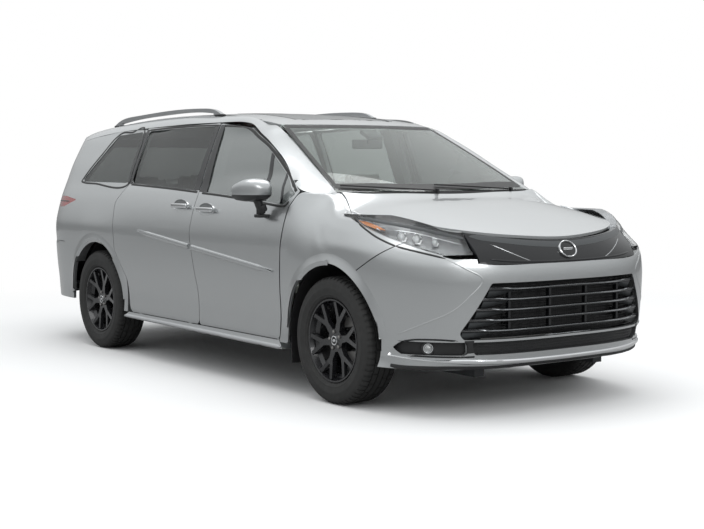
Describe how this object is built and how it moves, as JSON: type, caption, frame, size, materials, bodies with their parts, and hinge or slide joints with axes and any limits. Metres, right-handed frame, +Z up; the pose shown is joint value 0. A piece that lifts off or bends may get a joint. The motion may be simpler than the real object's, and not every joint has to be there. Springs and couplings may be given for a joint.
{
  "type": "family minivan",
  "caption": "Seven-seat family van with hinged front doors, sliding side doors, hood, tailgate, steered front wheels and roof rails.",
  "frame": {"origin": "on the ground, at the middle of the length and width", "axes": "+X towards the nose, +Y to the left, +Z up"},
  "size_m": [5.1734, 2.3068, 1.7789],
  "materials": {
    "silver_paint": "metallic gloss",
    "dark_paint": "satin",
    "gloss_black": "gloss",
    "black_plastic": "matte",
    "soft_black": "matte",
    "lamp_clear": "clear",
    "lamp_red": "gloss",
    "clear_glass": "clear",
    "dark_glass": "tinted",
    "silver_trim": "satin",
    "cast_metal": "cast",
    "steel": "dull",
    "seat_fabric": "woven",
    "tyre_rubber": "matte",
    "wheel_black": "gloss black"
  },
  "bodies": {
    "body": {"body_side_left": "silver_paint", "body_side_right": "silver_paint", "cowl": "black_plastic", "dashboard": "soft_black", "engine": "cast_metal", "exhaust": "steel", "floor_pan": "dark_paint", "front_bumper": "silver_paint", "front_fender_left": "silver_paint", "front_fender_right": "silver_paint", "front_seats": "seat_fabric", "front_subframe": "dark_paint", "fuel_tank": "black_plastic", "grille": "gloss_black", "headlamp_left": "lamp_clear", "headlamp_right": "lamp_clear", "middle_seats": "seat_fabric", "nose_trim": "gloss_black", "quarter_glass": "dark_glass", "rear_axle": "dark_paint", "rear_bench": "seat_fabric", "rear_bumper": "silver_paint", "roof_glass": "dark_glass", "roof_panel": "silver_paint", "roof_rails": "silver_trim", "side_lamps": "lamp_red", "sliding_door_glass": "dark_glass", "sliding_door_left": "silver_paint", "sliding_door_right": "silver_paint", "wheel_liners": "black_plastic", "windshield": "clear_glass", "wipers": "black_plastic"},
    "front_door_right": {"front_door_right": "silver_paint", "front_door_glass_right": "clear_glass"},
    "front_door_left": {"front_door_left": "silver_paint", "front_door_glass_left": "clear_glass"},
    "mirror_right": {"door_mirror_right": "silver_paint"},
    "mirror_left": {"door_mirror_left": "silver_paint"},
    "hood": {"hood": "silver_paint"},
    "tailgate": {"tailgate": "silver_paint", "tailgate_glass": "dark_glass", "tailgate_lamps": "lamp_red"},
    "fuel_flap": {"fuel_flap": "silver_paint"},
    "steering_wheel": {"steering_wheel": "soft_black"},
    "knuckle_right": {"knuckle_right": "cast_metal"},
    "knuckle_left": {"knuckle_left": "cast_metal"},
    "wheel_front_right": {"tyre_front_right": "tyre_rubber", "wheel_front_right": "wheel_black"},
    "wheel_front_left": {"tyre_front_left": "tyre_rubber", "wheel_front_left": "wheel_black"},
    "wheel_rear_right": {"tyre_rear_right": "tyre_rubber", "wheel_rear_right": "wheel_black"},
    "wheel_rear_left": {"tyre_rear_left": "tyre_rubber", "wheel_rear_left": "wheel_black"}
  },
  "joints": [
    {"name": "front_door_right", "type": "hinge", "parent": "body", "child": "front_door_right", "pos_m": [1.05, -0.95, 0.7], "axis": [0, 0, 1], "range_deg": [0, 65]},
    {"name": "mirror_fold_right", "type": "hinge", "parent": "front_door_right", "child": "mirror_right", "pos_m": [0.94, -1.015, 1.15], "axis": [0, 0, -1], "range_deg": [0, 65]},
    {"name": "steer_right", "type": "hinge", "parent": "body", "child": "knuckle_right", "pos_m": [1.617, -0.753, 0.205], "axis": [0, 0.154, 0.9881], "range_deg": [-33, 33]},
    {"name": "wheel_front_right", "type": "hinge", "parent": "knuckle_right", "child": "wheel_front_right", "pos_m": [1.617, -0.855, 0.3695], "axis": [0, 1, 0], "continuous": true},
    {"name": "wheel_rear_right", "type": "hinge", "parent": "body", "child": "wheel_rear_right", "pos_m": [-1.444, -0.855, 0.3695], "axis": [0, 1, 0], "continuous": true},
    {"name": "front_door_left", "type": "hinge", "parent": "body", "child": "front_door_left", "pos_m": [1.05, 0.95, 0.7], "axis": [0, 0, -1], "range_deg": [0, 65]},
    {"name": "mirror_fold_left", "type": "hinge", "parent": "front_door_left", "child": "mirror_left", "pos_m": [0.94, 1.015, 1.15], "axis": [0, 0, 1], "range_deg": [0, 65]},
    {"name": "steer_left", "type": "hinge", "parent": "body", "child": "knuckle_left", "pos_m": [1.617, 0.753, 0.205], "axis": [0, -0.154, 0.9881], "range_deg": [-33, 33]},
    {"name": "wheel_front_left", "type": "hinge", "parent": "knuckle_left", "child": "wheel_front_left", "pos_m": [1.617, 0.855, 0.3695], "axis": [0, 1, 0], "continuous": true},
    {"name": "wheel_rear_left", "type": "hinge", "parent": "body", "child": "wheel_rear_left", "pos_m": [-1.444, 0.855, 0.3695], "axis": [0, 1, 0], "continuous": true},
    {"name": "hood", "type": "hinge", "parent": "body", "child": "hood", "pos_m": [1.437, 0, 1.216], "axis": [0, -1, 0], "range_deg": [0, 50]},
    {"name": "tailgate", "type": "hinge", "parent": "body", "child": "tailgate", "pos_m": [-2.29, 0, 1.64], "axis": [0, 1, 0], "range_deg": [0, 80]},
    {"name": "fuel_flap", "type": "hinge", "parent": "body", "child": "fuel_flap", "pos_m": [-1.709, 1, 0.97], "axis": [0, 0, -1], "range_deg": [0, 80]},
    {"name": "steering_wheel", "type": "hinge", "parent": "body", "child": "steering_wheel", "pos_m": [0.905, 0.385, 1.005], "axis": [-0.9135, 0, 0.4067], "range_deg": [-470, 470]}
  ],
  "couplings": [
    {"joint": "steer_right", "follows": "steer_left", "ratio": 1},
    {"joint": "steering_wheel", "follows": "steer_left", "ratio": 14}
  ]
}
